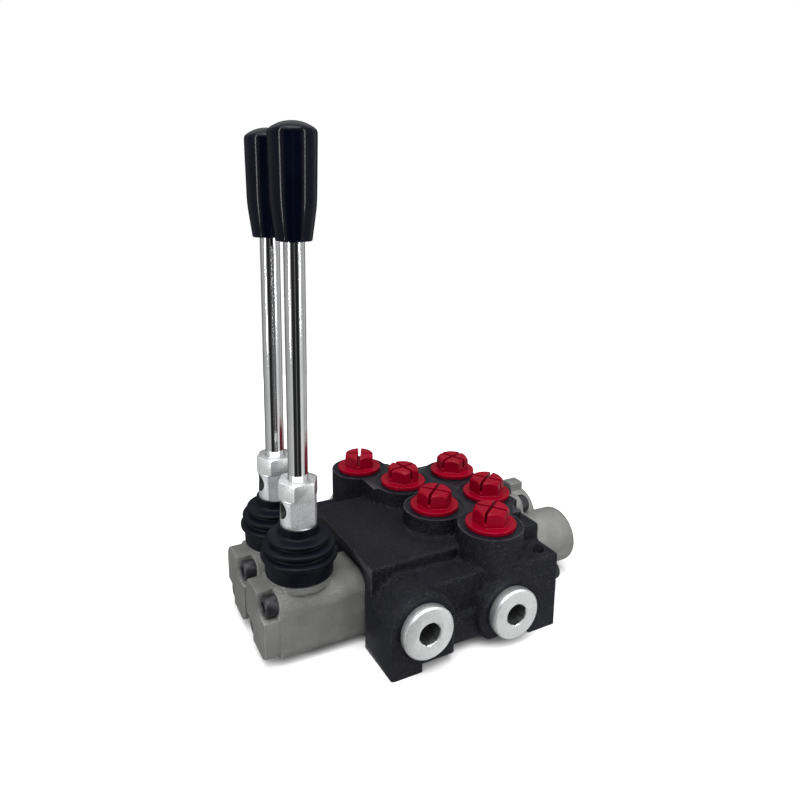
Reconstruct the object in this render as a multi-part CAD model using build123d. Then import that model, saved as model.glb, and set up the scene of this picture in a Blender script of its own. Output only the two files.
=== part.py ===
from build123d import *
import math
import os

# ---------------------------------------------------------------------------
# Two-spool monoblock directional valve, 40 L/min class, lever operated.
# Frame (mm): X along the spools (levers at -X, spring caps at +X),
# Y across the spools, Z up.  Origin: centre of the casting's footprint, on
# the plane of its mounting feet.
# ---------------------------------------------------------------------------

# casting
XL, XR = -47.0, 47.0          # machined end faces
PAD_X = -45.0                 # recessed pad for the lever housings
PITCH = 33.5                  # distance between the spool axes
YS = (-PITCH / 2, PITCH / 2)  # front and rear spool
ZS = 18.5                     # spool axis height
Z_PORT = 54.5                 # port faces
Z_WEB = 53.7                  # cast skin between the port spot faces
Z_PLAT = 45.1                 # flat top beside the levers
Y_FRONT = -62.6               # front boss faces and front feet
Y_WALL = -43.0                # front wall of the upper block
Y_STEP = 29.0                 # rear edge of the upper block
Y_REAR = 50.0                 # rear wall
Z_REAR = 36.0                 # top of the low rear shelf
R_BOSS = 16.26                # port bosses
X_A, X_B = 3.3, 36.7          # work ports of each section
P_XY = (17.66, -46.2)         # inlet port
T_XY = (-10.45, 45.7)         # outlet port
LUG_Z = 39.6                  # mounting lug thickness
HOLE_R = 4.25                 # mounting holes, M8 clearance
HOLE_FR = (40.6, -54.2)       # front right hole
HOLE_RR = (40.6, 54.8)        # rear right hole
HOLE_RL = (-38.5, 54.8)       # rear left hole
G12 = 9.5                     # G1/2 port bore radius
SIDE_T = (-30.0, 22.3)        # (x, z) of the tank gallery on the front
SIDE_P = (18.8, 16.9)         # (x, z) of the inlet gallery on the front

# spools and caps
R_BORE, R_SPOOL = 8.0, 7.96
SPOOL_END = 53.5
CAP_END = 89.6
STROKE = 6.0

# levers
X_LEV = -72.7                 # lever pivot
Z_PIV = 38.0                  # fulcrum height
LEAN = 0.6                    # standing lean of the levers, degrees
BALL_R = 4.5
R_ROD = 4.75
Z_NUT0, Z_NUT1 = 76.9, 85.4
Z_KNOB0, Z_KNOB1 = 195.4, 245.5

os.makedirs("parts", exist_ok=True)


def cx(r, x0, x1, y=0.0, z=0.0):
    """Cylinder along X."""
    return Pos((x0 + x1) / 2, y, z) * Rot(0, 90, 0) * Cylinder(r, abs(x1 - x0))


def cy(r, y0, y1, x=0.0, z=0.0):
    """Cylinder along Y."""
    return Pos(x, (y0 + y1) / 2, z) * Rot(90, 0, 0) * Cylinder(r, abs(y1 - y0))


def cz(r, z0, z1, x=0.0, y=0.0):
    """Cylinder along Z."""
    return Pos(x, y, (z0 + z1) / 2) * Cylinder(r, abs(z1 - z0))


def bx(x0, x1, y0, y1, z0, z1):
    return Pos((x0 + x1) / 2, (y0 + y1) / 2, (z0 + z1) / 2) * Box(x1 - x0, y1 - y0, z1 - z0)


def revolved(points, about, at):
    """Solid of revolution: points are (radius, height) along the axis."""
    sketch = make_face(Polyline(*[(r, h) for r, h in points], close=True))
    solid = revolve(Plane.XZ * sketch, Axis.Z)
    turn = {"z": Rot(0, 0, 0), "x": Rot(0, 90, 0), "y": Rot(-90, 0, 0)}[about]
    return Pos(*at) * turn * solid


def hexagon(af, h0, h1):
    return Pos(0, 0, h0) * extrude(RegularPolygon(af / 2, 6, major_radius=False), h1 - h0)


def hex_chamfered(af, h0, h1, top=True, bottom=True, ch=0.14):
    """Hexagonal prism with its corners turned off at 30 degrees."""
    r = af / 2 / 0.8660254
    d = (r - af / 2 * 1.0) * 0.62
    pts = [(0, h0), (r * (0.93 if bottom else 1.01), h0), (r * 1.01, h0 + (d if bottom else 0)),
           (r * 1.01, h1 - (d if top else 0)), (r * (0.93 if top else 1.01), h1), (0, h1)]
    if not bottom:
        pts.pop(2)
    if not top:
        pts.pop(-3)
    return hexagon(af, h0, h1) & revolved(pts, "z", (0, 0, 0))


def coil(r, wire, h0, h1, turns):
    """Helical spring about +Z between two heights."""
    length = h1 - h0 - 2 * wire
    path = Pos(0, 0, h0 + wire) * Helix(pitch=length / turns, height=length, radius=r)
    start = path @ 0
    prof = Plane(origin=start, z_dir=path % 0) * Circle(wire)
    return sweep(prof, path=path, is_frenet=True)


def socket_bolt(d, length, head_d, head_h, key):
    """Socket head cap screw: seat of the head at 0, head towards +Z."""
    s = cz(head_d / 2, 0, head_h) + cz(d / 2, -length, 0)
    s = chamfer(s.edges().filter_by(GeomType.CIRCLE).sort_by(Axis.Z)[-1], 0.5)
    s -= hexagon(key, head_h * 0.45, head_h + 1)
    return s


nodes = {}

# ---------------------------------------------------------------------------
# monoblock casting
# ---------------------------------------------------------------------------
body = bx(XL, XR, Y_WALL, Y_STEP, 0, Z_PLAT)
body += bx(XL, XR, Y_STEP, Y_REAR, 0, Z_REAR)
# front left: half-round gallery wall round the tank gallery, on a foot
body += cy(17.2, Y_FRONT, Y_WALL + 1, *SIDE_T)
body += bx(-46.2, -13.6, Y_FRONT, Y_WALL + 1, 0, 22.3)
# shelf that joins the half-round wall to the inlet boss
body += bx(-30, 12, -57.5, Y_WALL + 1, 4.5, 38.6)
body += bx(-16, 30, -60.3, Y_WALL + 1, 4.5, 22)
# inlet boss and the horizontal boss below it
body += cz(R_BOSS, 14, Z_PORT, *P_XY)
body += cy(18.2, Y_FRONT, Y_WALL + 1, *SIDE_P)
# mounting lug front right and the block above it
lug = bx(20, XR, Y_FRONT, Y_WALL + 1, 0, LUG_Z)
lug = fillet(lug.edges().filter_by(Axis.X).group_by(Axis.Z)[-1].sort_by(Axis.Y)[0], 3.5)
lug = fillet(lug.edges().filter_by(Axis.Z).group_by(Axis.X)[-1].sort_by(Axis.Y)[0], 2.5)
body += lug
body += bx(15, XR, -47.5, Y_STEP + 2, 0, 48.6)
# work port bosses and the web between them
for yy in YS:
    for xx in (X_A, X_B):
        body += cz(R_BOSS, 20, Z_PORT, xx, yy)
body += bx(X_A, XR, -28.5, 28.5, 30, Z_WEB)
body += bx(12, XR - 6, -42, 30, 30, Z_WEB)
# outlet boss
body += cz(R_BOSS, 0, Z_PORT, *T_XY)
body += bx(-18, 6, 18, 44, 30, Z_WEB)
# rear lugs
for hx, hy in (HOLE_RR, HOLE_RL):
    x0, x1 = (20, XR) if hx > 0 else (XL, -20)
    rl = bx(x0, x1, Y_REAR - 1, 62.6, 0, 30 if hx < 0 else 34)
    rl = fillet(rl.edges().filter_by(Axis.Z).group_by(Axis.Y)[-1], 5)
    body += rl
# rear boss round the relief valve and the tank side port
body += cy(15.5, 30, 64.0, *SIDE_P)
# trim everything to the end faces
body &= bx(XL, XR, -90, 90, -1, 80)
# recessed pads for the lever housings
body -= bx(XL - 1, PAD_X, -36.0, 36.0, 2.0, 41.0)
# arched underside between the feet
body -= bx(-31.0, 31.0, -80, 80, -1, 4.5)
body -= bx(-60, 60, -36, 36, -1, 3.0)

# port bores
PORTS = {"p": P_XY, "t": T_XY, "a1": (X_A, YS[0]), "b1": (X_B, YS[0]), "a2": (X_A, YS[1]), "b2": (X_B, YS[1])}
for name, (x, y) in PORTS.items():
    body -= cz(G12, Z_PORT - 14.5, Z_PORT + 1, x, y)
    body -= Pos(x, y, Z_PORT - 0.6) * Cone(G12, G12 + 1.2, 1.2)
    body -= cz(5.2, ZS if name not in "pt" else 17, Z_PORT - 14, x, y)
# spool bores with their annular grooves and seal grooves
for yy in YS:
    body -= cx(R_BORE, XL - 1, XR + 1, yy, ZS)
    for gx in (-14.0, 0.5, 18.8, 33.0, 39.9):
        body -= cx(10.6, gx - 1.9, gx + 1.9, yy, ZS)
    for g0 in (-43.5, 43.7):
        body -= cx(10.4, g0, g0 + 2.4, yy, ZS)
# inlet gallery across both sections, tank gallery beside it
body -= cy(G12, Y_FRONT - 1, -47.4, *SIDE_P)
body -= cy(7.5, -48, -26.0, *SIDE_P)
body -= cy(4.5, -27, 49.0, *SIDE_P)
body -= cy(9.0, 48.0, 65.0, *SIDE_P)
body -= cy(G12, Y_FRONT - 1, -47.4, *SIDE_T)
body -= cy(5.5, -48, 45.7, *SIDE_T)
body -= cx(5.5, SIDE_T[0], T_XY[0], T_XY[1], SIDE_T[1])
body -= cy(G12, 49.0, 63.0, T_XY[0], SIDE_T[1])
body -= cy(13.8, 61.96 - 1.2, 63.5, T_XY[0], SIDE_T[1])
# relief return passage to the tank side
body -= cx(2.6, T_XY[0], SIDE_P[0], 53.5, 22.0)
# mounting holes
for hx, hy in (HOLE_FR, HOLE_RR, HOLE_RL):
    body -= cz(HOLE_R, -1, 60, hx, hy)

# threads for the housing and cap screws
H_BOLT = ((-9.5, 11.7), (9.5, -10.0))            # from the spool axis
def cap_bolts(side):
    return ((8.75, 19.0), (-19.0, -8.75)) if side < 0 else ((-8.75, 19.0), (19.0, -8.75))
for side, yy in zip((-1, 1), YS):
    for dy, dz in H_BOLT:
        body -= cx(3.0, PAD_X - 3, PAD_X + 13, yy + dy, ZS + dz)
    for dy, dz in cap_bolts(side):
        body -= cx(3.0, XR - 12, XR + 1, yy + dy, ZS + dz)
nodes["monoblock_body"] = body

# ---------------------------------------------------------------------------
# port plugs: flanged hexagon heads with a cross slot and a hollow skirt
# ---------------------------------------------------------------------------
FL_R, FL_H = 12.5, 2.0
def port_plug(turn):
    p = cz(FL_R, 0, FL_H) + cz(9.42, -9, 0)
    head = hexagon(16.2, FL_H, 9.6)
    cone = revolved([(0, 1), (11, 1), (9.8, 3), (9.0, 8.2), (7.6, 9.6), (0, 9.6)], "z", (0, 0, 0))
    p += head & cone
    p -= cz(7.4, -9.5, 0.8)
    p -= bx(-12, 12, -0.8, 0.8, 4.0, 12)
    p -= bx(-0.8, 0.8, -12, 12, 4.0, 12)
    return Rot(0, 0, turn) * p
TURN = {"p": 36, "t": 62, "a1": 40, "b1": 34, "a2": 8, "b2": 20}
for name, (x, y) in PORTS.items():
    nodes["port_plug_" + name] = Pos(x, y, Z_PORT) * port_plug(TURN[name])

# steel side plugs, 10 mm hexagon socket, on bonded washers
def side_plug(turn):
    p = cz(13.0, 1.0, 5.0) + cz(9.45, -11, 1.0)
    p = chamfer(p.edges().filter_by(GeomType.CIRCLE).sort_by(Axis.Z)[-1], 0.7)
    p -= hexagon(10.0, -3.0, 6)
    p -= revolved([(0, 3), (5.4, 4.6), (5.9, 5.1), (0, 5.1)], "z", (0, 0, 0))
    return Rot(0, 0, turn) * p
washer = cz(12.4, 0, 1.0) - cz(9.8, -1, 2)
def at_front(x, z, y=Y_FRONT):
    return Pos(x, y, z) * Rot(90, 0, 0)
def at_rear(x, z, y):
    return Pos(x, y, z) * Rot(-90, 0, 0)
nodes["side_plug_tank"] = at_front(*SIDE_T) * side_plug(10)
nodes["side_plug_inlet"] = at_front(*SIDE_P) * side_plug(24)
REAR_PORT_Y = 61.96 - 1.2
nodes["side_plug_rear"] = at_rear(T_XY[0], SIDE_T[1], REAR_PORT_Y) * side_plug(0)
nodes["side_plug_washers"] = Compound(children=[
    at_front(*SIDE_T) * washer, at_front(*SIDE_P) * washer, at_rear(T_XY[0], SIDE_T[1], REAR_PORT_Y) * washer])

# ---------------------------------------------------------------------------
# load check valve in the inlet gallery
# ---------------------------------------------------------------------------
sx, sz = SIDE_P
nodes["check_valve_seat"] = revolved([(4.2, -39.5), (7.45, -39.5), (7.45, -35.5), (5.8, -35.5), (4.2, -37.1)], "y", (sx, 0, sz))
nodes["check_valve_poppet"] = revolved([(0, -37.6), (3.3, -37.6), (5.6, -35.3), (6.9, -35.2), (6.9, -30.2), (4.8, -30.2), (4.8, -33.4), (0, -33.4)], "y", (sx, 0, sz))
nodes["check_valve_spring"] = Pos(sx, -33.3, sz) * Rot(-90, 0, 0) * coil(3.9, 0.35, 0, 7.2, 4)

# ---------------------------------------------------------------------------
# relief valve on the rear, in line with the inlet gallery
# ---------------------------------------------------------------------------
Y_RV = 64.0
rv = revolved([(0, 48.3), (7.9, 48.3), (8.95, 49.3), (8.95, Y_RV), (13.2, Y_RV), (13.2, Y_RV + 1.6), (8.6, Y_RV + 1.6), (8.6, Y_RV + 12), (0, Y_RV + 12)], "y", (0, 0, 0))
rv += Pos(0, Y_RV + 1.6, 0) * Rot(-90, 0, 0) * hex_chamfered(22, 0, 6.4, bottom=False)
rv -= cy(2.5, 47, 53, 0, 0)
rv -= cy(6.0, 52, Y_RV + 8, 0, 0)
rv -= cy(4.05, Y_RV + 7, Y_RV + 13, 0, 0)
rv -= Pos(0, 53.5, 0) * Cylinder(1.6, 24)
nodes["relief_valve_body"] = Pos(sx, 0, sz) * rv
nodes["relief_poppet"] = revolved([(0, 50.6), (0.8, 50.6), (2.3, 51.95), (3.4, 52.15), (3.4, 53.6), (5.6, 53.6), (5.6, 55.0), (2.2, 55.0), (2.2, 57.6), (0, 57.6)], "y", (sx, 0, sz))
nodes["relief_spring"] = Pos(sx, 55.1, sz) * Rot(-90, 0, 0) * coil(3.9, 0.9, 0, 12.6, 4.5)
nodes["relief_spring_seat"] = revolved([(0, 67.8), (5.7, 67.8), (5.7, 69.0), (2.2, 69.0), (2.2, 69.9), (0, 69.9)], "y", (sx, 0, sz)) + cy(2.2, 64.5, 67.9, sx, sz)
adj = cy(4.0, 70.0, 86.0, 0, 0) - Pos(0, 86, 0) * Box(9, 3, 1.2)
nodes["relief_adjuster"] = Pos(sx, 0, sz) * adj
nut8 = hex_chamfered(13, 0, 6.0) - cz(4.03, -1, 8)
nodes["relief_locknut"] = Pos(sx, Y_RV + 12, sz) * Rot(-90, 0, 0) * nut8

# ---------------------------------------------------------------------------
# lever housings
# ---------------------------------------------------------------------------
X_SH = -88.1                   # shoulder of the main section
X_HE = -95.7                   # end face
HW, H_LO, H_HI = 16.2, 2.6, 36.2
def prism(hw, lo, hi, r_top, r_bot, x0, x1):
    b = bx(x0, x1, -hw, hw, lo, hi)
    e = b.edges().filter_by(Axis.X)
    top = e.group_by(Axis.Z)[-1]
    bot = e.group_by(Axis.Z)[0]
    b = fillet(top, r_top)
    e = b.edges().filter_by(Axis.X).group_by(Axis.Z)[0]
    return fillet(e, r_bot)
def lever_housing():
    h = prism(HW, H_LO, H_HI, 9.5, 6.0, X_SH, PAD_X)
    h += prism(HW - 1.3, H_LO + 1.2, H_HI - 1.2, 8.5, 6.0, X_HE, X_SH + 1)
    h = fillet(h.faces().sort_by(Axis.X)[0].edges(), 0.8)
    # fulcrum tower
    h += cz(15.0, 28, 45.0, X_LEV, 0)
    # notches for the two screws, heads seated on the shoulder
    for dy, dz in H_BOLT:
        sy, sz = (1 if dy > 0 else -1), (1 if dz > 0 else -1)
        notch = bx(X_HE - 1, X_SH - 0.2, -5.4, 22, -5.4, 22)
        notch = fillet(notch.edges().filter_by(Axis.X).sort_by(lambda e: e.center().Y + e.center().Z)[0], 4.8)
        if sy < 0:
            notch = mirror(notch, Plane.XZ)
        if sz < 0:
            notch = mirror(notch, Plane.XY)
        h -= Pos(0, dy, ZS + dz) * notch
        h -= cx(3.2, X_SH - 2, PAD_X + 1, dy, ZS + dz)
    # spool cavity, open towards the casting
    h -= cx(9.2, -91.0, PAD_X + 1, 0, ZS)
    # fulcrum ball bore and the throat below it
    h -= cz(8.06, 33.0, 46, X_LEV, 0)
    h -= bx(X_LEV - 9.5, X_LEV + 9.5, -6.9, 6.9, ZS, 33.2)
    # fulcrum pin bore
    h -= cy(2.5, -17, 17, X_LEV, Z_PIV)
    # snap ring groove
    h -= cz(8.9, 42.6, 43.8, X_LEV, 0)
    return h
hs = lever_housing()
for side, yy, nm in zip((-1, 1), YS, ("front", "rear")):
    nodes["lever_housing_" + nm] = Pos(0, yy, 0) * hs
ring = cz(8.85, 42.65, 43.75, X_LEV, 0) - cz(6.9, 42, 45, X_LEV, 0)
pin = cy(2.47, -14.6, 14.6, X_LEV, Z_PIV)
nodes["snap_rings"] = Compound(children=[Pos(0, y, 0) * ring for y in YS])
nodes["fulcrum_pins"] = Compound(children=[Pos(0, y, 0) * pin for y in YS])
HB_L = (PAD_X - (X_SH - 0.2)) + 11.5
m6_long = socket_bolt(5.95, HB_L, 10.0, 6.0, 5.0)
nodes["housing_bolts"] = Compound(children=[
    Pos(X_SH - 0.2, y + dy, ZS + dz) * Rot(0, -90, 0) * m6_long for y in YS for dy, dz in H_BOLT])

# ---------------------------------------------------------------------------
# levers
# ---------------------------------------------------------------------------
def lever_arm():
    """Forged arm: lower ball, fulcrum ball, neck and the flatted boss."""
    a = Pos(0, 0, ZS) * Sphere(BALL_R)
    a += Pos(0, 0, 0) * cz(3.0, ZS, Z_PIV)
    a += Pos(0, 0, Z_PIV) * Sphere(8.0)
    a += cz(4.6, Z_PIV, 62)
    boss = cz(8.75, 60.0, Z_NUT0) & bx(-20, 20, -6.6, 6.6, 50, 90)
    boss += cz(8.75, 58.6, 62.0)
    a += boss
    a -= cz(R_ROD + 0.02, 63.9, Z_NUT0 + 1)
    a -= cx(4.2, -12, -4.0, 0, 71.4)
    a -= cy(2.52, -10, 10, 0, Z_PIV)
    return a
def lean(s, yy):
    """Place a lever piece modelled on the axis, with the standing lean about its fulcrum."""
    return Pos(X_LEV, yy, Z_PIV) * Rot(0, LEAN, 0) * Pos(0, 0, -Z_PIV) * s
rod = cz(R_ROD, 64.0, 224.0)
rod = chamfer(rod.edges().filter_by(GeomType.CIRCLE), 0.6)
nut10 = hex_chamfered(17, Z_NUT0, Z_NUT1) - cz(R_ROD + 0.02, Z_NUT0 - 1, Z_NUT1 + 1)
knob = revolved([(0, Z_KNOB0), (8.0, Z_KNOB0), (8.6, Z_KNOB0 + 0.6), (9.3, Z_KNOB0 + 9), (10.1, Z_KNOB0 + 20),
                 (10.6, Z_KNOB0 + 32), (10.75, Z_KNOB0 + 42), (10.7, Z_KNOB1 - 5.2), (9.9, Z_KNOB1 - 4.0),
                 (8.2, Z_KNOB1 - 2.2), (5.0, Z_KNOB1 - 0.6), (0, Z_KNOB1)], "z", (0, 0, 0))
knob -= cz(R_ROD + 0.02, Z_KNOB0 - 1, 224.5)
for yy, nm in zip(YS, ("front", "rear")):
    nodes["lever_arm_" + nm] = lean(lever_arm(), yy)
    nodes["lever_rod_" + nm] = lean(rod, yy)
    nodes["lever_nut_" + nm] = lean(nut10, yy)
    nodes["lever_knob_" + nm] = lean(knob, yy)

# rubber boots: stepped bellows with a tight collar and a skirt
boot = revolved([
    (8.95, 57.4), (8.95, 63.4), (10.0, 63.4), (9.6, 58.6), (14.8, 57.6), (15.0, 56.4), (14.0, 54.8), (17.0, 53.8), (17.3, 52.4),
    (16.2, 50.8), (18.2, 49.6), (18.5, 47.8), (16.35, 45.6), (16.35, 39.0), (15.15, 39.0), (15.15, 45.3), (16.4, 47.4),
    (16.4, 48.6), (14.6, 50.8), (15.4, 52.4), (12.2, 54.8), (13.2, 56.0), (9.45, 56.8)], "z", (0, 0, 0))
for yy, nm in zip(YS, ("front", "rear")):
    # neighbouring boots press flat against each other
    side = bx(-100, -40, -60, -0.15, 0, 100) if yy < 0 else bx(-100, -40, 0.15, 60, 0, 100)
    nodes["boot_" + nm] = lean(boot, yy) & side

# ---------------------------------------------------------------------------
# spools, centring springs and caps
# ---------------------------------------------------------------------------
def spool():
    s = cx(R_SPOOL, -50.0, SPOOL_END, 0, 0)
    for a, b in ((-12.0, -1.6), (2.6, 16.7), (20.9, 30.9), (35.1, 37.8)):
        s -= cx(20, a, b, 0, 0) - cx(5.2, a - 1, b + 1, 0, 0)
    s += cx(6.6, X_LEV - 8.5, -49.0, 0, 0)
    s -= bx(-100, -62, -10, 10, 3.0, 10)
    s -= bx(-100, -62, -10, 10, -10, -5.0)
    s -= cz(BALL_R + 0.12, -10, 10, X_LEV - 0.2, 0)
    s -= cx(3.0, SPOOL_END - 14, SPOOL_END + 1, 0, 0)
    return s
sp = spool()
screw = cx(2.97, SPOOL_END - 13, SPOOL_END + 22, 0, 0) + cx(5.0, SPOOL_END + 22, SPOOL_END + 26, 0, 0)
screw -= Pos(SPOOL_END + 23.6, 0, 0) * Rot(0, 90, 0) * hexagon(5, 0, 4)
seat_a = cx(10.2, SPOOL_END, SPOOL_END + 1.8, 0, 0) + cx(6.0, SPOOL_END + 1, SPOOL_END + 5.5, 0, 0) - cx(3.05, SPOOL_END - 1, SPOOL_END + 8, 0, 0)
seat_b = cx(10.2, SPOOL_END + 20.2, SPOOL_END + 22, 0, 0) + cx(6.0, SPOOL_END + 16.5, SPOOL_END + 21, 0, 0) - cx(3.05, SPOOL_END + 14, SPOOL_END + 23, 0, 0)
spring = Pos(SPOOL_END + 1.9, 0, 0) * Rot(0, 90, 0) * coil(8.0, 1.1, 0, 18.2, 5)
oring = lambda x: Pos(x, 0, 0) * Rot(0, 90, 0) * Torus(9.2, 1.15)
for yy, nm in zip(YS, ("front", "rear")):
    at = Pos(0, yy, ZS)
    nodes["spool_" + nm] = at * sp
    nodes["spring_screw_" + nm] = at * screw
    nodes["spring_seats_" + nm] = Compound(children=[at * seat_a, at * seat_b])
    nodes["centring_spring_" + nm] = at * spring
nodes["spool_seals"] = Compound(children=[Pos(0, y, ZS) * oring(x) for y in YS for x in (-42.3, 44.9)])

X_EAR = XR + 18.4
def spring_cap(side):
    c = revolved([(0, XR), (16.6, XR), (16.6, XR + 5.0), (16.2, XR + 6.5), (15.4, CAP_END - 1.9), (14.9, CAP_END - 0.7), (13.9, CAP_END), (0, CAP_END)], "x", (0, 0, 0))
    for dy, dz in cap_bolts(side):
        ear = cx(6.6, XR, X_EAR, dy, dz)
        c += ear
    # pads that join the ears to the barrel
    for dy, dz in cap_bolts(side):
        n = (dy * dy + dz * dz) ** 0.5
        ang = math.degrees(math.atan2(dz, dy))
        c += Rot(ang, 0, 0) * bx(XR, X_EAR, n * 0.45, n, -6.0, 6.0)
    for dy, dz in cap_bolts(side):
        c -= cx(3.2, XR - 1, X_EAR + 1, dy, dz)
    c -= cx(11.8, XR - 1, CAP_END - 3.6, 0, 0)
    return c
m6 = socket_bolt(5.95, X_EAR - XR + 10.5, 10.0, 6.0, 5.0)
for side, yy, nm in zip((-1, 1), YS, ("front", "rear")):
    cap = spring_cap(side)
    if side > 0:
        cap += bx(78.0, 87.0, -4.0, 4.0, 10.0, 20.6) - cx(11.8, 70, CAP_END - 3.6, 0, 0)
    nodes["spring_cap_" + nm] = Pos(0, yy, ZS) * cap
nodes["cap_bolts"] = Compound(children=[
    Pos(X_EAR, y + dy, ZS + dz) * Rot(0, 90, 0) * m6
    for side, y in zip((-1, 1), YS) for dy, dz in cap_bolts(side)])

for name, shape in nodes.items():
    export_step(shape, "parts/" + name + ".step")
    b = shape.bounding_box()
    print(name, len(shape.solids()), [round(v, 1) for v in (b.min.X, b.min.Y, b.min.Z, b.max.X, b.max.Y, b.max.Z)])
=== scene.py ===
import math

import bmesh
import bpy
import numpy as np
from mathutils import Matrix, Vector


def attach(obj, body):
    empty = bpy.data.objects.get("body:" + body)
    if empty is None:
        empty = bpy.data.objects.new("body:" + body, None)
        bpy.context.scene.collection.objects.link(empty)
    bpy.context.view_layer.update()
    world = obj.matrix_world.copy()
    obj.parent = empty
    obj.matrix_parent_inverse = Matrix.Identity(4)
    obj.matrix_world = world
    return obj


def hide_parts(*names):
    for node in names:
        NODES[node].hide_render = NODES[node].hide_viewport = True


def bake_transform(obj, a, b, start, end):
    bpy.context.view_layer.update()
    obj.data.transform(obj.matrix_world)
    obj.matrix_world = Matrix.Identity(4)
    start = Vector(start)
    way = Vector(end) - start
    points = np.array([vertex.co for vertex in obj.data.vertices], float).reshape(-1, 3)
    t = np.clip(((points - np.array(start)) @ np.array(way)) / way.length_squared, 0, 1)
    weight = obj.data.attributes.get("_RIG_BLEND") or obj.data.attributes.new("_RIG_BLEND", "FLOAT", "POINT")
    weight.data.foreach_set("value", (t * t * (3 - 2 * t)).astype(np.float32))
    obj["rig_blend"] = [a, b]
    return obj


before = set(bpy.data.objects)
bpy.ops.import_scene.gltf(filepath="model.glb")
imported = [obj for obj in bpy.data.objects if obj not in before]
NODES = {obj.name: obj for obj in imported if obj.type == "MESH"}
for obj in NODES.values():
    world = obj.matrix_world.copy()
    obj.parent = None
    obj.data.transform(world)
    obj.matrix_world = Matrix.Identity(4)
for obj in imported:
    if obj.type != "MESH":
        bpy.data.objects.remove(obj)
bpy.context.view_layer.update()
MM = 0.001
YS = (-16.75, 16.75)
ZS = 18.5
X_LEV, Z_PIV = -72.7, 38.0
LEAN = math.radians(0.6)
col = bpy.context.scene.collection


# --------------------------------------------------------------------------
# mesh helpers (millimetres in, metres out)
# --------------------------------------------------------------------------
def new_object(name, bm, scale=MM):
    me = bpy.data.meshes.new(name)
    if scale != 1:
        bmesh.ops.scale(bm, vec=(scale,) * 3, verts=bm.verts)
    bm.to_mesh(me)
    bm.free()
    ob = bpy.data.objects.new(name, me)
    col.objects.link(ob)
    return ob


def add_box(bm, x0, x1, y0, y1, z0, z1):
    m = Matrix.Translation(((x0 + x1) / 2, (y0 + y1) / 2, (z0 + z1) / 2)) @ Matrix.Diagonal((x1 - x0, y1 - y0, z1 - z0, 1))
    return bmesh.ops.create_cube(bm, size=1, matrix=m)["verts"]


def add_cyl(bm, axis, r, a, b, p=(0, 0), r2=None, seg=96):
    """Cylinder or cone along an axis; p holds the two other coordinates in X, Y, Z order."""
    mid, h = (a + b) / 2, abs(b - a)
    if axis == "x":
        m = Matrix.Translation((mid, p[0], p[1])) @ Matrix.Rotation(math.pi / 2, 4, "Y")
    elif axis == "y":
        m = Matrix.Translation((p[0], mid, p[1])) @ Matrix.Rotation(-math.pi / 2, 4, "X")
    else:
        m = Matrix.Translation((p[0], p[1], mid))
    return bmesh.ops.create_cone(bm, cap_ends=True, segments=seg, radius1=r, radius2=r if r2 is None else r2, depth=h, matrix=m)["verts"]


def modify(ob, kind, **kw):
    m = ob.modifiers.new(kind, kind)
    for k, v in kw.items():
        setattr(m, k, v)
    return m


def bake_mods(ob):
    dg = bpy.context.evaluated_depsgraph_get()
    dg.update()
    me = bpy.data.meshes.new_from_object(ob.evaluated_get(dg))
    ob.modifiers.clear()
    old = ob.data
    ob.data = me
    bpy.data.meshes.remove(old)
    return ob


def cast_blank(ob, voxel, rounds):
    modify(ob, "REMESH", mode="VOXEL", voxel_size=voxel * MM)
    modify(ob, "SMOOTH", factor=0.5, iterations=rounds)
    return bake_mods(ob)


def cut(ob, tool_bm, name="cutter"):
    tool = new_object(name, tool_bm)
    m = modify(ob, "BOOLEAN", operation="DIFFERENCE", object=tool)
    m.solver = "MANIFOLD"
    n0 = len(ob.data.polygons)
    bake_mods(ob)
    print("CUT", ob.name, name, n0, "->", len(ob.data.polygons))
    bpy.data.objects.remove(tool)
    return ob


def shade(ob, angle=32):
    me = ob.data
    me.polygons.foreach_set("use_smooth", [True] * len(me.polygons))
    if hasattr(me, "set_sharp_from_angle"):
        me.set_sharp_from_angle(angle=math.radians(angle))
    me.update()
    return ob


def revolve(name, profile, seg=96, about="z", at=(0, 0, 0), closed=False):
    """Surface of revolution; profile is (r, h) pairs, closed loops are tubes."""
    bm = bmesh.new()
    rings = []
    for r, h in profile:
        if r < 1e-6:
            rings.append([bm.verts.new((0, 0, h))])
        else:
            rings.append([bm.verts.new((r * math.cos(2 * math.pi * i / seg), r * math.sin(2 * math.pi * i / seg), h)) for i in range(seg)])
    n = len(rings)
    for k in range(n if closed else n - 1):
        a, b = rings[k], rings[(k + 1) % n]
        for i in range(seg):
            j = (i + 1) % seg
            if len(a) == 1 and len(b) == 1:
                continue
            if len(a) == 1:
                bm.faces.new((a[0], b[j], b[i]))
            elif len(b) == 1:
                bm.faces.new((a[i], a[j], b[0]))
            else:
                bm.faces.new((a[i], a[j], b[j], b[i]))
    bmesh.ops.recalc_face_normals(bm, faces=bm.faces)
    turn = {"z": Matrix.Identity(4), "x": Matrix.Rotation(math.pi / 2, 4, "Y"), "y": Matrix.Rotation(-math.pi / 2, 4, "X")}[about]
    bmesh.ops.transform(bm, matrix=Matrix.Translation(at) @ turn, verts=bm.verts)
    return new_object(name, bm)


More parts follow.
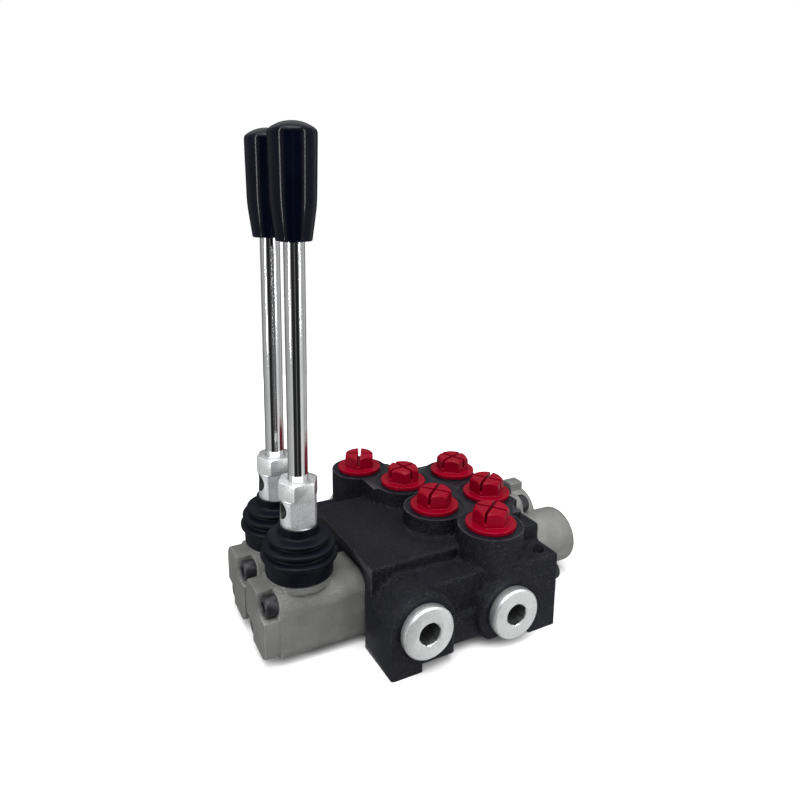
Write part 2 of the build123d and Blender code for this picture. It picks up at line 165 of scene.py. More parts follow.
def smooth_profile(pts, per=5):
    """Catmull-Rom through the profile's points; a third value of 1 keeps a crease."""
    out = []
    p = [(a[0], a[1]) for a in pts]
    hard = [len(a) > 2 for a in pts]
    n = len(p)
    for i in range(n - 1):
        p0 = p[i - 1] if i > 0 and not hard[i] else (2 * p[i][0] - p[i + 1][0], 2 * p[i][1] - p[i + 1][1])
        p3 = p[i + 2] if i + 2 < n and not hard[i + 1] else (2 * p[i + 1][0] - p[i][0], 2 * p[i + 1][1] - p[i][1])
        for k in range(per):
            t = k / per
            out.append(tuple(0.5 * (2 * p[i][c] + (p[i + 1][c] - p0[c]) * t + (2 * p0[c] - 5 * p[i][c] + 4 * p[i + 1][c] - p3[c]) * t * t
                                    + (3 * p[i][c] - p0[c] - 3 * p[i + 1][c] + p3[c]) * t ** 3) for c in (0, 1)))
    out.append(p[-1])
    return [(max(0.0, r), h) for r, h in out]


def lean_matrix(y):
    """Millimetre frame on a lever's own axis to the row frame."""
    return Matrix.Translation((X_LEV * MM, y * MM, Z_PIV * MM)) @ Matrix.Rotation(LEAN, 4, "Y") @ Matrix.Translation((0, 0, -Z_PIV * MM))


def copy_node(node, name):
    """A welded, clean copy of a CAD node's mesh."""
    me = NODES[node].data.copy()
    me.name = name
    ob = bpy.data.objects.new(name, me)
    col.objects.link(ob)
    bm = bmesh.new()
    bm.from_mesh(me)
    bmesh.ops.remove_doubles(bm, verts=bm.verts, dist=1e-6)
    bm.to_mesh(me)
    bm.free()
    me.materials.clear()
    for a in list(me.attributes):
        if a.name not in ("position",) and not a.is_internal and a.name not in (".edge_verts", ".corner_vert", ".corner_edge", "material_index", "sharp_face"):
            try:
                me.attributes.remove(a)
            except Exception:
                pass
    return ob


def bevelled(node, name, width, seg=2, angle=30):
    ob = copy_node(node, name)
    bm = bmesh.new()
    bm.from_mesh(ob.data)
    bmesh.ops.dissolve_limit(bm, angle_limit=math.radians(1.0), verts=bm.verts, edges=bm.edges)
    bm.to_mesh(ob.data)
    bm.free()
    modify(ob, "BEVEL", width=width * MM, segments=seg, limit_method="ANGLE", angle_limit=math.radians(angle), harden_normals=False)
    return shade(bake_mods(ob), 35)


def softened(node, name, voxel, rounds, angle=40):
    ob = copy_node(node, name)
    cast_blank(ob, voxel, rounds)
    return shade(ob, angle)


# --------------------------------------------------------------------------
# materials
# --------------------------------------------------------------------------
def principled(name):
    m = bpy.data.materials.new(name)
    m.use_nodes = True
    t = m.node_tree
    return m, t, t.nodes["Principled BSDF"]


def coords(t, scale=(1, 1, 1)):
    tc = t.nodes.new("ShaderNodeTexCoord")
    mp = t.nodes.new("ShaderNodeMapping")
    mp.inputs["Scale"].default_value = scale
    t.links.new(tc.outputs["Object"], mp.inputs["Vector"])
    return mp.outputs["Vector"]


def noise(t, vec, scale, detail=4, rough=0.55, kind="ShaderNodeTexNoise"):
    n = t.nodes.new(kind)
    n.inputs["Scale"].default_value = scale
    if kind == "ShaderNodeTexNoise":
        n.inputs["Detail"].default_value = detail
        n.inputs["Roughness"].default_value = rough
        t.links.new(vec, n.inputs["Vector"])
        return n.outputs["Fac"]
    t.links.new(vec, n.inputs["Vector"])
    return n.outputs["Distance"]


def ramp(t, fac, stops):
    r = t.nodes.new("ShaderNodeValToRGB")
    e = r.color_ramp.elements
    while len(e) < len(stops):
        e.new(0.5)
    for s, (pos, c) in zip(e, stops):
        s.position = pos
        s.color = (c, c, c, 1) if isinstance(c, (int, float)) else (*c, 1)
    t.links.new(fac, r.inputs["Fac"])
    return r.outputs["Color"]


def mix(t, fac, a, b, blend="MIX"):
    n = t.nodes.new("ShaderNodeMix")
    n.data_type = "RGBA"
    n.blend_type = blend
    for sock, v in ((n.inputs[0], fac), (n.inputs[6], a), (n.inputs[7], b)):
        if isinstance(v, (int, float)):
            sock.default_value = v
        elif isinstance(v, tuple):
            sock.default_value = (*v, 1)
        else:
            t.links.new(v, sock)
    return n.outputs[2]


def math_node(t, op, a, b=0.0, clamp=False):
    n = t.nodes.new("ShaderNodeMath")
    n.operation = op
    n.use_clamp = clamp
    for sock, v in ((n.inputs[0], a), (n.inputs[1], b)):
        if isinstance(v, (int, float)):
            sock.default_value = v
        else:
            t.links.new(v, sock)
    return n.outputs[0]


def bump(t, bsdf, height, strength, dist):
    b = t.nodes.new("ShaderNodeBump")
    b.inputs["Strength"].default_value = strength
    b.inputs["Distance"].default_value = dist
    t.links.new(height, b.inputs["Height"])
    t.links.new(b.outputs["Normal"], bsdf.inputs["Normal"])


def pointiness(t, lo, hi):
    g = t.nodes.new("ShaderNodeNewGeometry")
    return ramp(t, g.outputs["Pointiness"], [(lo, 0.0), (hi, 1.0)])


def surface(name, base, dark, light, metallic, rough, rough_var, grain, grain_bump, blotch=60, edge=None, edge_wear_and_highlight_col=(0.3, 0.3, 0.3), coat=0.0, stretch=(1, 1, 1), bump_dist=0.0002, spec=0.5, painted_glint=0.0, specks=0.0):
    """Procedural finish: colour blotches, fine grain with bump, varying gloss, single grains lightened as painted
    glints, and worn edges that also carry a painted edge highlight.
    """
    m, t, b = principled(name)
    v = coords(t, stretch)
    v0 = coords(t)
    big = noise(t, v0, blotch, 5, 0.6)
    fine = noise(t, v, grain, 3, 0.6)
    c = ramp(t, big, [(0.3, dark), (0.5, base), (0.72, light)])
    c = mix(t, ramp(t, fine, [(0.35, 0.0), (0.7, 0.35)]), c, light)
    if painted_glint:
        # painted glints: single grains of the sand-cast skin lightened as if catching the light
        c = mix(t, math_node(t, "MULTIPLY", ramp(t, noise(t, v0, 2100, 2, 0.5), [(0.60, 0.0), (0.72, 1.0)]), 1.0), c, (painted_glint, painted_glint, painted_glint * 1.05))
    if specks:
        # small dark pits and stains
        pit = math_node(t, "MULTIPLY", ramp(t, noise(t, v0, 1300, 3, 0.6), [(0.58, 0.0), (0.70, specks)]), ramp(t, big, [(0.42, 0.25), (0.58, 1.0)]), True)
        c = mix(t, pit, c, tuple(x * 0.25 for x in dark))
    r = math_node(t, "ADD", math_node(t, "MULTIPLY", big, rough_var), rough - rough_var / 2, True)
    # convex edges are lightened in patches: partly real wear, partly a painted highlight where the edges catch the
    # light
    if edge:
        e = pointiness(t, edge[0], edge[1])
        e = math_node(t, "MULTIPLY", e, ramp(t, noise(t, v0, 900, 3), [(0.38, 0.15), (0.62, 1.0)]), True)
        c = mix(t, e, c, edge_wear_and_highlight_col)
    t.links.new(c, b.inputs["Base Color"])
    t.links.new(r, b.inputs["Roughness"])
    b.inputs["Metallic"].default_value = metallic
    b.inputs["Specular IOR Level"].default_value = spec
    if coat:
        b.inputs["Coat Weight"].default_value = coat
        b.inputs["Coat Roughness"].default_value = 0.06
    bump(t, b, fine, grain_bump, bump_dist)
    return m


# every edge colour below lightens convex edges: partly real wear, partly a painted highlight; the two black paints
# also get painted glints on single grains
M_CAST = surface("paint_cast", (0.0018, 0.0021, 0.0050), (0.0010, 0.0012, 0.0030), (0.0050, 0.0055, 0.0100), 0.0, 0.36, 0.12, 1300, 1.0, 55, (0.525, 0.59), (0.060, 0.062, 0.074), bump_dist=0.0010, spec=0.19, painted_glint=0.07)
M_FACE = surface("paint_machined", (0.0034, 0.0038, 0.0075), (0.0022, 0.0025, 0.0050), (0.0090, 0.0097, 0.0145), 0.0, 0.38, 0.14, 1900, 0.35, 40, (0.53, 0.62), (0.14, 0.14, 0.145), bump_dist=0.0001, spec=0.13, painted_glint=0.05)
M_RED = surface("plastic_red", (0.182, 0.0002, 0.0095), (0.140, 0.0002, 0.0070), (0.230, 0.0003, 0.0120), 0.0, 0.28, 0.10, 1300, 0.10, 45, (0.52, 0.59), (0.40, 0.008, 0.030), bump_dist=0.0001, spec=0.08)
M_ALU = surface("alloy_cast", (0.150, 0.152, 0.145), (0.115, 0.117, 0.112), (0.21, 0.212, 0.205), 0.35, 0.48, 0.16, 1300, 1.0, 70, (0.525, 0.60), (0.46, 0.46, 0.45), bump_dist=0.0009, specks=0.55)
M_CAP = surface("alloy_cap", (0.165, 0.165, 0.158), (0.125, 0.126, 0.122), (0.235, 0.236, 0.23), 0.35, 0.48, 0.14, 1500, 0.9, 60, (0.53, 0.61), (0.50, 0.50, 0.49), bump_dist=0.0004, specks=0.35)
M_ZINC = surface("steel_zinc", (0.82, 0.84, 0.84), (0.70, 0.71, 0.70), (0.90, 0.91, 0.91), 0.9, 0.29, 0.12, 1500, 0.7, 140, (0.53, 0.60), (0.92, 0.92, 0.92), bump_dist=0.00018, specks=0.8)
# a dark finish laid into recesses; in the arm's cross hole it is painted shade
M_DARK_RECESS = surface("steel_dark_recess", (0.050, 0.055, 0.050), (0.022, 0.024, 0.022), (0.11, 0.115, 0.11), 0.6, 0.50, 0.16, 900, 0.6, 220, None, bump_dist=0.0002)
M_ARM = surface("steel_arm", (0.74, 0.76, 0.78), (0.62, 0.635, 0.65), (0.84, 0.86, 0.87), 0.85, 0.33, 0.10, 1500, 1.0, 120, (0.525, 0.59), (0.92, 0.92, 0.92), bump_dist=0.0003, specks=0.85)
M_BOLT = surface("steel_black", (0.012, 0.012, 0.014), (0.007, 0.007, 0.009), (0.028, 0.028, 0.032), 0.4, 0.38, 0.16, 1800, 0.3, 120, (0.53, 0.63), (0.10, 0.10, 0.11), bump_dist=0.0001, spec=0.35)
M_RUBBER = surface("rubber_black", (0.0016, 0.0022, 0.0050), (0.0010, 0.0014, 0.0034), (0.0045, 0.0055, 0.0095), 0.0, 0.44, 0.16, 1400, 0.35, 80, (0.53, 0.62), (0.030, 0.031, 0.038), bump_dist=0.00018, spec=0.12)
M_CHROME = surface("rod_chrome", (0.74, 0.75, 0.76), (0.68, 0.69, 0.70), (0.82, 0.82, 0.83), 1.0, 0.09, 0.04, 900, 0.06, 60, None, stretch=(1, 1, 0.06), bump_dist=0.00004)
M_KNOB = surface("plastic_knob", (0.0010, 0.0018, 0.0052), (0.0007, 0.0012, 0.0036), (0.0020, 0.0030, 0.0080), 0.0, 0.11, 0.05, 700, 0.05, 60, (0.53, 0.66), (0.010, 0.011, 0.018), coat=0.02, bump_dist=0.00008, spec=0.13)
M_STEEL = surface("steel_inner", (0.42, 0.42, 0.43), (0.32, 0.32, 0.33), (0.54, 0.54, 0.55), 0.95, 0.32, 0.12, 1300, 0.2, 90, (0.53, 0.63), (0.7, 0.7, 0.7), bump_dist=0.0001)


def paint(ob, *mats):
    ob.data.materials.clear()
    for m in mats:
        ob.data.materials.append(m)
    return ob


# finish for every carried-over node
FINISH = {"port_plug": M_RED, "side_plug": M_ZINC, "relief": M_ARM, "check": M_STEEL, "snap": M_STEEL, "fulcrum": M_STEEL, "spool": M_STEEL,
          "spring_screw": M_STEEL, "spring_seats": M_STEEL, "centring": M_STEEL, "housing_bolts": M_BOLT, "cap_bolts": M_BOLT, "monoblock": M_CAST,
          "lever_housing": M_ALU, "lever_arm": M_ARM, "lever_rod": M_CHROME, "lever_nut": M_ZINC, "lever_knob": M_KNOB, "boot": M_RUBBER,
          "spring_cap": M_CAP, "spool_seals": M_RUBBER}
for n, ob in NODES.items():
    key = max((k for k in FINISH if n.startswith(k)), key=len)
    paint(ob, FINISH[key])


def stand(ob, body, slot, *nodes):
    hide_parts(*nodes)
    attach(ob, body)
    return ob


# --------------------------------------------------------------------------
# casting: rounded sand-cast blank, then the machined cuts
# --------------------------------------------------------------------------
XA, XB = 3.3, 36.7
PORTS = [(17.66, -46.2), (-10.45, 45.7), (XA, YS[0]), (XB, YS[0]), (XA, YS[1]), (XB, YS[1])]
SIDE_T, SIDE_P = (-30.0, 22.3), (18.8, 16.9)
HOLES = [(40.6, -54.2, 39.6), (40.6, 54.8, 34.0), (-38.5, 54.8, 30.0)]
Y_FRONT, REAR_T_Y = -62.6, 60.76

bm = bmesh.new()
OV = 2.5
add_box(bm, -47 - OV, 47 + OV, -43, 29, -OV, 45.1)
add_box(bm, -47 - OV, 47 + OV, 20, 50, -OV, 36)
add_cyl(bm, "y", 17.3, Y_FRONT - 0.3, -40, SIDE_T)
add_box(bm, -47.2, -13.2, Y_FRONT - 0.3, -40, -OV, 22.3)
add_box(bm, -30, 12, -57.5, -40, 4.5, 38.6)
add_box(bm, -18, 30, -59.2, -40, 4.5, 20)
add_box(bm, 2, 30, -59.2, -40, 4.5, 28)
add_cyl(bm, "z", 16.26, 14, 54.5 + OV, PORTS[0])
add_cyl(bm, "z", 18.6, 10, 33, PORTS[0], r2=16.26)
add_cyl(bm, "y", 18.3, Y_FRONT - 0.3, -40, SIDE_P)
add_box(bm, 20, 47 + OV, Y_FRONT, -40, -OV, 39.6)
add_box(bm, 15, 47 + OV, -47.5, 31, 4, 48.6)
add_box(bm, 20, 47 + OV, -30, 30, 30, 54.5 + OV)
for x, y in PORTS[2:]:
    add_cyl(bm, "z", 16.26, 20, 54.5 + OV, (x, y))
add_box(bm, XA, 45, -30.5, 30.5, 30, 54.5 + OV)
add_box(bm, 12, 41, -42, 30, 30, 54.5 + OV)
add_cyl(bm, "z", 16.26, -OV, 54.5 + OV, PORTS[1])
add_box(bm, -16, 8, 15, 44, 30, 54.5 + OV)
for hx, hy, top in HOLES[1:]:
    x0, x1 = (20, 47 + OV) if hx > 0 else (-47 - OV, -20)
    add_box(bm, x0, x1, 44, 62.6, -OV, top)
add_cyl(bm, "y", 15.5, 30, 64 + OV, SIDE_P)
blank = new_object("monoblock_cast", bm)
cast_blank(blank, 0.6, 26)

tool = bmesh.new()
for b in ((-80, -47, -90, 90, -20, 90), (47, 80, -90, 90, -20, 90), (-90, 90, -90, 90, -20, 0), (-90, 90, -90, 90, 54.5, 90), (-31, 31, -100, 100, -30, 4.5), (-60, 60, -36, 36, -30, 3.0),
          (-60, -45, -36, 36, 2.0, 41.0)):
    one = bmesh.new()
    add_box(one, *b)
    cut(blank, one, "plane")
tool.free()
one = bmesh.new()
add_box(one, -90, 90, 64.0, 120, -30, 100)
cut(blank, one, "rear_plane")
one = bmesh.new()
for x, y in PORTS:
    add_cyl(one, "z", 15.35, 54.22, 60, (x, y), seg=128)
cut(blank, one, "spotfaces")
one = bmesh.new()
for x, y in PORTS:
    add_cyl(one, "z", 9.5, 40, 60, (x, y))
for hx, hy, top in HOLES:
    add_cyl(one, "z", 4.25, -10, 70, (hx, hy))
cut(blank, one, "bores")
one = bmesh.new()
for x, z in (SIDE_T, SIDE_P):
    add_cyl(one, "y", 15.0, -80, Y_FRONT, (x, z), seg=128)
cut(blank, one, "front_spotfaces")
one = bmesh.new()
for x, z in (SIDE_T, SIDE_P):
    add_cyl(one, "y", 9.5, -80, -47.4, (x, z))
add_cyl(one, "y", 13.8, REAR_T_Y, 90, (PORTS[1][0], SIDE_T[1]))
add_cyl(one, "y", 9.0, 48, 90, SIDE_P)
for y in YS:
    add_cyl(one, "x", 8.0, -90, 90, (y, ZS))
cut(blank, one, "galleries")
one = bmesh.new()
add_cyl(one, "y", 9.5, 49, 90, (PORTS[1][0], SIDE_T[1]))
for side, y in zip((-1, 1), YS):
    for dy, dz in ((-9.5, 11.7), (9.5, -10.0)):
        add_cyl(one, "x", 3.0, -60, -32, (y + dy, ZS + dz), seg=32)
    for dy, dz in (((8.75, 19.0), (-19.0, -8.75)) if side < 0 else ((-8.75, 19.0), (19.0, -8.75))):
        add_cyl(one, "x", 3.0, 35, 60, (y + dy, ZS + dz), seg=32)
cut(blank, one, "tapped")
shade(blank, 30)
paint(blank, M_CAST, M_FACE)
me = blank.data
cen = np.empty(len(me.polygons) * 3)
nor = np.empty(len(me.polygons) * 3)
me.polygons.foreach_get("center", cen)
me.polygons.foreach_get("normal", nor)
cen, nor = cen.reshape(-1, 3) / MM, nor.reshape(-1, 3)
flat = np.abs(nor).max(1) > 0.9995
mach = flat & ((np.abs(np.abs(cen[:, 0]) - 47) < 0.02) | (np.abs(cen[:, 2] - 54.5) < 0.3) | (np.abs(cen[:, 1] - Y_FRONT) < 0.02) | (np.abs(cen[:, 1] - 64) < 0.02) | (np.abs(cen[:, 1] - REAR_T_Y) < 0.02) | (np.abs(cen[:, 2]) < 0.02))
me.polygons.foreach_set("material_index", mach.astype(np.int32))
me.update()
stand(blank, "casting", "cast_black", "monoblock_body")

# --------------------------------------------------------------------------
# lever housings
# --------------------------------------------------------------------------
for y, nm in zip(YS, ("front", "rear")):
    bm = bmesh.new()

    def prism(hw, lo, hi, rt, rb, x0, x1):
        """Section with rounded top and bottom corners."""
        pts = []
        for cyy, czz, r, a0 in ((hw - rb, lo + rb, rb, -90), (hw - rt, hi - rt, rt, 0), (-hw + rt, hi - rt, rt, 90), (-hw + rb, lo + rb, rb, 180)):
            for k in range(13):
                a = math.radians(a0 + 90 * k / 12)
                pts.append((cyy + r * math.cos(a), czz + r * math.sin(a)))
        lower = [bm.verts.new((x0, y + p, q)) for p, q in pts]
        upper = [bm.verts.new((x1, y + p, q)) for p, q in pts]
        bm.faces.new(lower)
        bm.faces.new(upper)
        for i in range(len(pts)):
            j = (i + 1) % len(pts)
            bm.faces.new((lower[i], lower[j], upper[j], upper[i]))

    prism(16.2, 2.6, 36.2, 9.5, 6.0, -88.1, -43.0)
    prism(14.9, 3.8, 35.0, 8.5, 6.0, -95.7, -80)
    bmesh.ops.recalc_face_normals(bm, faces=bm.faces)
    add_cyl(bm, "z", 15.9, 34.5, 38.4, (X_LEV, y))
    hs = new_object("housing_cast_" + nm, bm)
    cast_blank(hs, 0.42, 6)
    one = bmesh.new()
    add_box(one, -60, -45.0, y - 20, y + 20, -5, 50)
    add_box(one, -45.0, -30, y - 20, y + 20, -5, 50)
    bmesh.ops.delete(one, geom=one.verts[:8], context="VERTS")
    cut(hs, one, "seat_face")
    one = bmesh.new()
    add_cyl(one, "z", 12.0, 34, 60, (X_LEV, y))
    cut(hs, one, "ball_bore")
    for dy, dz in ((-9.5, 11.7), (9.5, -10.0)):
        sy, sz = (1 if dy > 0 else -1), (1 if dz > 0 else -1)
        one = bmesh.new()
        pts = [(-5.4 + 4.6 * (1 - math.cos(math.radians(a))), -5.4 + 4.6 * (1 - math.sin(math.radians(a)))) for a in range(0, 91, 10)]
        pts = [(-3.6, 22)] + [(-5.4, 1.0)] + pts + [(22, -5.4), (22, 22)]
        lower = [one.verts.new((-99, y + dy + sy * p, ZS + dz + sz * q)) for p, q in pts]
        upper = [one.verts.new((-88.3, y + dy + sy * p, ZS + dz + sz * q)) for p, q in pts]
        one.faces.new(lower)
        one.faces.new(upper)
        for i in range(len(pts)):
            j = (i + 1) % len(pts)
            one.faces.new((lower[i], lower[j], upper[j], upper[i]))
        bmesh.ops.recalc_face_normals(one, faces=one.faces)
        cut(hs, one, "notch")
    one = bmesh.new()
    add_cyl(one, "x", 9.2, -91.0, -40, (y, ZS))
    cut(hs, one, "spool_cavity")
    shade(hs, 38)
    paint(hs, M_ALU)
    stand(hs, "casting", "alloy_cast", "lever_housing_" + nm)

# --------------------------------------------------------------------------
# spring caps, plugs, arms: softened from the frame's own solids
# --------------------------------------------------------------------------
for nm, yy in zip(("front", "rear"), YS):
    ob = softened("spring_cap_" + nm, "cap_cast_" + nm, 0.5, 5)
    stand(paint(ob, M_CAP), "casting", "alloy_cap", "spring_cap_" + nm)
    ob = softened("lever_arm_" + nm, "arm_forged_" + nm, 0.28, 3)
    paint(ob, M_ARM, M_DARK_RECESS)
    # painted shade: the walls of the blind cross hole in the boss take the dark finish
    for p in ob.data.polygons:
        q = p.center / MM
        if q[0] < X_LEV - 3 and math.hypot(q[1] - yy, q[2] - 71.4) < 4.32:
            p.material_index = 1
    stand(ob, "lever_" + nm, "steel_zinc", "lever_arm_" + nm)
    ob = bevelled("lever_nut_" + nm, "nut_" + nm, 0.25)
    stand(paint(ob, M_ZINC), "lever_" + nm, "steel_zinc", "lever_nut_" + nm)
for k in ("p", "t", "a1", "b1", "a2", "b2"):
    ob = softened("port_plug_" + k, "plug_red_" + k, 0.22, 2)
    stand(paint(ob, M_RED), "casting", "plug_red", "port_plug_" + k)

# knobs: moulded, with a slightly domed end
KNOB = [(4.77, 195.9, 1), (5.2, 195.4, 1), (7.5, 195.4, 1), (8.05, 195.8), (8.3, 197.5), (9.1, 203), (9.9, 209), (10.2, 212.5), (10.35, 217), (10.5, 225), (10.68, 234), (10.75, 239.6), (10.68, 240.8), (10.35, 241.7), (9.6, 242.45),
        (8.2, 243.35), (5.6, 244.55), (2.8, 245.25), (0, 245.5)]
for y, nm in zip(YS, ("front", "rear")):
    ob = revolve("knob_" + nm, smooth_profile(KNOB, 6))
    ob.data.transform(lean_matrix(y))
    shade(ob, 35)
    stand(paint(ob, M_KNOB), "lever_" + nm, "knob_black", "lever_knob_" + nm)
    # rod with the last thread turns showing above the nut
    prof = [(0, 66.0), (4.6, 66.0), (4.75, 66.5), (4.75, 85.2)]
    for k in range(4):
        z = 85.4 + k * 0.75
        prof += [(4.74, z), (4.38, z + 0.36), (4.74, z + 0.72)]
    prof += [(4.75, 88.6), (4.75, 130), (4.75, 170), (4.75, 222.8), (4.3, 223.6), (0, 223.6)]
    ob = revolve("rod_" + nm, prof, seg=72)
    ob.data.transform(lean_matrix(y))
    shade(ob, 30)
    stand(paint(ob, M_CHROME), "lever_" + nm, "rod_chrome", "lever_rod_" + nm)

# --------------------------------------------------------------------------
# boots
# --------------------------------------------------------------------------
BOOT = [(15.25, 39.2, 1), (16.1, 39.0, 1), (16.4, 39.3), (16.45, 44.8, 1), (16.3, 45.5), (16.6, 46.1), (17.8, 46.7), (18.4, 47.4), (18.5, 48.3), (18.2, 49.0), (17.2, 49.4), (15.9, 49.7), (15.4, 50.2), (15.4, 50.9), (15.9, 51.5),
        (16.9, 52.1), (17.35, 52.8), (17.35, 53.6), (16.9, 54.1), (15.4, 54.4), (13.9, 54.7), (13.3, 55.2), (13.3, 55.8), (13.8, 56.2), (14.7, 56.6), (15.05, 57.1), (15.0, 57.7), (14.5, 58.0), (12.4, 58.3), (10.5, 58.7), (9.85, 59.3),
        (9.75, 60.4), (9.8, 62.6), (9.95, 63.2), (9.6, 63.6), (9.15, 63.45, 1), (9.1, 62.9, 1), (9.1, 58.2, 1),
        (12.2, 57.0), (12.3, 55.4), (12.6, 54.2), (14.6, 53.4), (14.9, 52.6), (14.3, 50.8), (14.6, 49.2), (16.5, 48.4), (16.6, 47.6), (15.3, 45.6, 1)]
for y, nm in zip(YS, ("front", "rear")):
    ob = revolve("bellows_" + nm, smooth_profile(BOOT, 3)[:-1], seg=128, closed=True)
    ob.data.transform(lean_matrix(y))
    co = np.empty(len(ob.data.vertices) * 3)
    ob.data.vertices.foreach_get("co", co)
    co = co.reshape(-1, 3)
    # the two bellows press flat against each other along the middle
    s = 1 if y > 0 else -1
    d = co[:, 1] * s / MM
    lim = 0.12
    soft = lim + np.where(d > lim + 1.2, d - lim, np.where(d > lim - 1.2, (d - lim + 1.2) ** 2 / 4.8, 0.0))
    co[:, 1] = np.where(d < lim + 1.2, soft, d) * s * MM
    ob.data.vertices.foreach_set("co", co.ravel())
    ob.data.update()
    shade(ob, 50)
    paint(ob, M_RUBBER)
    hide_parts("boot_" + nm)
    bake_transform(ob, "casting", "lever_" + nm, start=(X_LEV * MM, y * MM, 0.045), end=((X_LEV + 0.2) * MM, y * MM, 0.0595))


# --------------------------------------------------------------------------
# socket screws with knurled heads
# --------------------------------------------------------------------------
def socket_screw(bm, d, length, hd, hh, key, m):
    """Knurled head seated at z=0 and standing towards +Z."""
    seg = 72
    rings = []
    for r, z, kn in ((hd / 2 - 0.25, 0.0, 0), (hd / 2, 0.3, 1), (hd / 2, hh - 0.9, 1), (hd / 2 - 0.15, hh - 0.6, 0), (hd / 2 - 0.75, hh, 0)):
        rings.append([bm.verts.new(m @ Vector(((r - (0.16 if kn and i % 2 else 0)) * math.cos(2 * math.pi * i / seg), (r - (0.16 if kn and i % 2 else 0)) * math.sin(2 * math.pi * i / seg), z))) for i in range(seg)])

    def hexring(af, z):
        out = []
        for i in range(seg):
            a = 2 * math.pi * i / seg
            k = (a + math.pi / 6) % (math.pi / 3) - math.pi / 6
            r = af / 2 / math.cos(k)
            out.append(bm.verts.new(m @ Vector((r * math.cos(a), r * math.sin(a), z))))
        return out
    rings += [hexring(key + 0.5, hh), hexring(key, hh - 0.3), hexring(key, hh * 0.45)]
    for a, b in zip(rings, rings[1:]):
        for i in range(seg):
            j = (i + 1) % seg
            bm.faces.new((a[i], a[j], b[j], b[i]))
    tip = bm.verts.new(m @ Vector((0, 0, hh * 0.45 - key * 0.2)))
    for i in range(seg):
        bm.faces.new((rings[-1][i], rings[-1][(i + 1) % seg], tip))
    stem = [[bm.verts.new(m @ Vector((d / 2 * math.cos(2 * math.pi * i / seg), d / 2 * math.sin(2 * math.pi * i / seg), z))) for i in range(seg)] for z in (0, -length)]
    end = bm.verts.new(m @ Vector((0, 0, -length)))
    for i in range(seg):
        j = (i + 1) % seg
        bm.faces.new((rings[0][j], rings[0][i], stem[0][i], stem[0][j]))
        bm.faces.new((stem[0][j], stem[0][i], stem[1][i], stem[1][j]))
        bm.faces.new((stem[1][j], stem[1][i], end))


bm = bmesh.new()
for y in YS:
    for dy, dz in ((-9.5, 11.7), (9.5, -10.0)):
        m = Matrix.Translation((-88.3, y + dy, ZS + dz)) @ Matrix.Rotation(-math.pi / 2, 4, "Y") @ Matrix.Rotation(0.3 * y, 4, "Z")
        socket_screw(bm, 5.95, 54.0, 10.0, 6.0, 5.0, m)
ob = new_object("housing_screws", bm)
bm = bmesh.new()
bm.from_mesh(ob.data)
bmesh.ops.recalc_face_normals(bm, faces=bm.faces)
bm.to_mesh(ob.data)
bm.free()
stand(paint(shade(ob, 30), M_BOLT), "casting", "bolt_black", "housing_bolts")
bm = bmesh.new()
for side, y in zip((-1, 1), YS):
    for dy, dz in (((8.75, 19.0), (-19.0, -8.75)) if side < 0 else ((-8.75, 19.0), (19.0, -8.75))):
        m = Matrix.Translation((65.4, y + dy, ZS + dz)) @ Matrix.Rotation(math.pi / 2, 4, "Y") @ Matrix.Rotation(0.2 * y, 4, "Z")
        socket_screw(bm, 5.95, 28.5, 10.0, 6.0, 5.0, m)
ob = new_object("cap_screws", bm)
bm = bmesh.new()
bm.from_mesh(ob.data)
bmesh.ops.recalc_face_normals(bm, faces=bm.faces)
bm.to_mesh(ob.data)
bm.free()
stand(paint(shade(ob, 30), M_BOLT), "casting", "bolt_black", "cap_bolts")

# the two valve springs shorten as their poppets lift
for k, body, y0, y1 in (("check_valve_spring", "check_poppet", -33.3, -26.1), ("relief_spring", "relief_pilot", 55.1, 67.7)):
    ob = shade(copy_node(k, "coil_" + k), 40)
    paint(ob, M_STEEL)
    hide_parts(k)
    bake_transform(ob, body, "casting", start=(SIDE_P[0] * MM, y0 * MM, SIDE_P[1] * MM), end=(SIDE_P[0] * MM, y1 * MM, SIDE_P[1] * MM))

# steel side plugs with broken edges
for k in ("side_plug_tank", "side_plug_inlet", "side_plug_rear"):
    ob = bevelled(k, "steel_" + k, 0.3, 3)
    paint(ob, M_ZINC, M_DARK_RECESS)
    # the faces inside the key socket take the dark finish
    px, pz = {"side_plug_tank": SIDE_T, "side_plug_inlet": SIDE_P, "side_plug_rear": (PORTS[1][0], SIDE_T[1])}[k]
    s = 1 if k == "side_plug_rear" else -1
    out = max(v.co[1] * s for v in ob.data.vertices) / MM
    for p in ob.data.polygons:
        q = p.center / MM
        if math.hypot(q[0] - px, q[2] - pz) < 6.3 and q[1] * s < out - 0.35 and q[1] * s > out - 12:
            p.material_index = 1
    stand(ob, "casting", "steel_zinc", k)

# --------------------------------------------------------------------------
# floor, light, camera
# --------------------------------------------------------------------------
bm = bmesh.new()
bmesh.ops.create_circle(bm, cap_ends=True, segments=96, radius=0.46)
floor = new_object("floor", bm, 1)
fm, ft, fb = principled("floor_pale")
v = coords(ft)
ft.links.new(ramp(ft, noise(ft, v, 3, 2), [(0.3, (0.90, 0.90, 0.90)), (0.7, (0.92, 0.92, 0.92))]), fb.inputs["Base Color"])
fb.inputs["Roughness"].default_value = 0.9
fb.inputs["Specular IOR Level"].default_value = 0.1
floor.data.materials.append(fm)
floor.visible_glossy = False


def light(name, at, target, size, power, size_y=None):
    ld = bpy.data.lights.new(name, "AREA")
    ld.energy = power
    ld.size = size
    if size_y:
        ld.shape = "RECTANGLE"
        ld.size_y = size_y
    lo = bpy.data.objects.new(name, ld)
    lo.location = at
    lo.rotation_mode = "QUATERNION"
    lo.rotation_quaternion = (Vector(target) - Vector(at)).to_track_quat("-Z", "Y")
    col.objects.link(lo)
    return lo


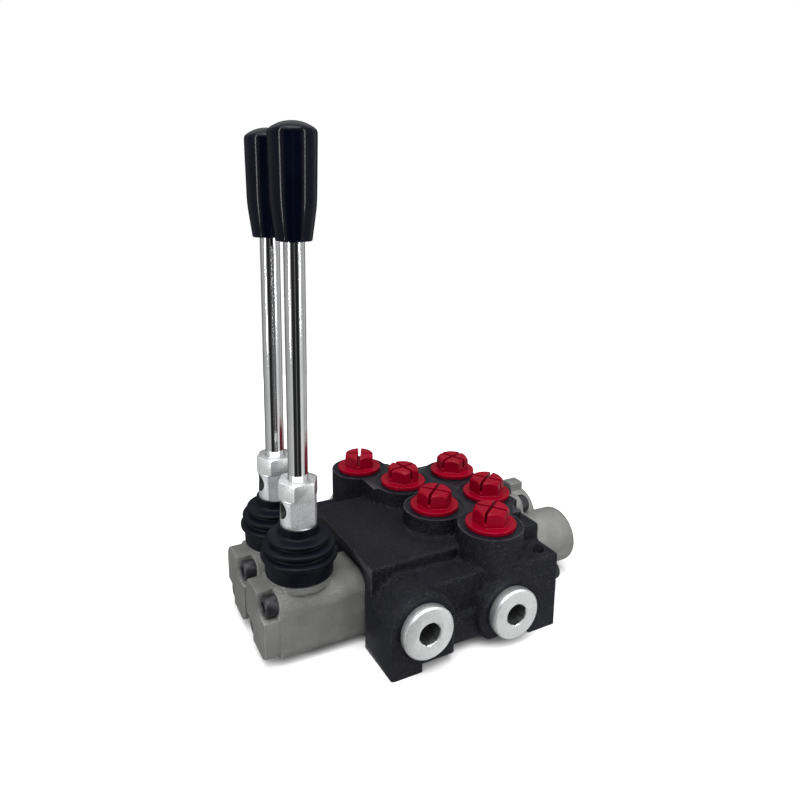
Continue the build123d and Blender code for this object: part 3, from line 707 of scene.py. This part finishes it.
C0 = (-0.01, 0, 0.08)
WALLS = [(0.0, 0.50), (0.070, 0.62), (0.095, 0.012), (0.185, 0.03), (0.20, 0.22), (0.215, 0.02), (0.295, 0.012), (0.335, 0.85), (0.45, 0.40), (0.55, 0.55), (0.60, 0.03), (0.78, 0.03), (0.86, 0.35), (1.0, 0.50)]
light("top_soft", (-0.10, -0.25, 0.95), C0, 0.55, 3.0)
light("front_left", (-0.92, -0.17, 0.36), C0, 0.05, 3.2, 0.9)
light("front_right", (0.56, -0.84, 0.36), C0, 0.05, 3.2, 0.9)
sun_data = bpy.data.lights.new("sun_soft", "SUN")
sun_data.energy = 2.5
sun_data.angle = math.radians(70)
sun = bpy.data.objects.new("sun_soft", sun_data)
sun.rotation_mode = "QUATERNION"
sun.rotation_quaternion = Vector((0.22, 0.28, -1)).to_track_quat("-Z", "Y")
col.objects.link(sun)

world = bpy.data.worlds.new("studio")
bpy.context.scene.world = world
world.use_nodes = True
wt = world.node_tree
wbg = wt.nodes["Background"]
# a white studio with two darker walls, so that bright metal has something to reflect
gen = wt.nodes.new("ShaderNodeTexCoord")
sep = wt.nodes.new("ShaderNodeSeparateXYZ")
wt.links.new(gen.outputs["Generated"], sep.inputs[0])
az = math_node(wt, "ARCTAN2", sep.outputs[1], sep.outputs[0])
az = math_node(wt, "ADD", math_node(wt, "MULTIPLY", az, 1 / (2 * math.pi)), 0.5)
walls = ramp(wt, az, WALLS)
sky = ramp(wt, math_node(wt, "ADD", math_node(wt, "MULTIPLY", sep.outputs[2], 0.5), 0.5), [(0.60, 0.0), (0.85, 1.0)])
env = mix(wt, sky, walls, (0.75, 0.75, 0.75))
path = wt.nodes.new("ShaderNodeLightPath")
wt.links.new(mix(wt, path.outputs["Is Camera Ray"], env, (1.0, 1.0, 1.0)), wbg.inputs["Color"])
wbg.inputs["Strength"].default_value = 1.0
bpy.context.scene.view_settings.view_transform = "Standard"
bpy.context.scene.view_settings.look = "None"

cam_data = bpy.data.cameras.new("camera")
cam_data.sensor_width = 36.0
cam_data.lens = 656.98 / 800 * 36.0
cam_data.shift_x = (400 - 363.5) / 800
cam_data.shift_y = (336.46 - 400) / 800
cam_data.clip_start = 0.01
cam = bpy.data.objects.new("camera", cam_data)
col.objects.link(cam)
a, e, roll = math.radians(-26.07), math.radians(12.08), math.radians(-0.27)
back = Vector((math.sin(a) * math.cos(e), -math.cos(a) * math.cos(e), math.sin(e)))
right = Vector((math.cos(a), math.sin(a), 0))
up = back.cross(right)
r2 = right * math.cos(roll) + up * math.sin(roll)
u2 = up * math.cos(roll) - right * math.sin(roll)
cam.matrix_world = Matrix.Translation(Vector((-170.31, -287.75, 214.42)) * MM) @ Matrix((r2, u2, back)).transposed().to_4x4()
bpy.context.scene.camera = cam
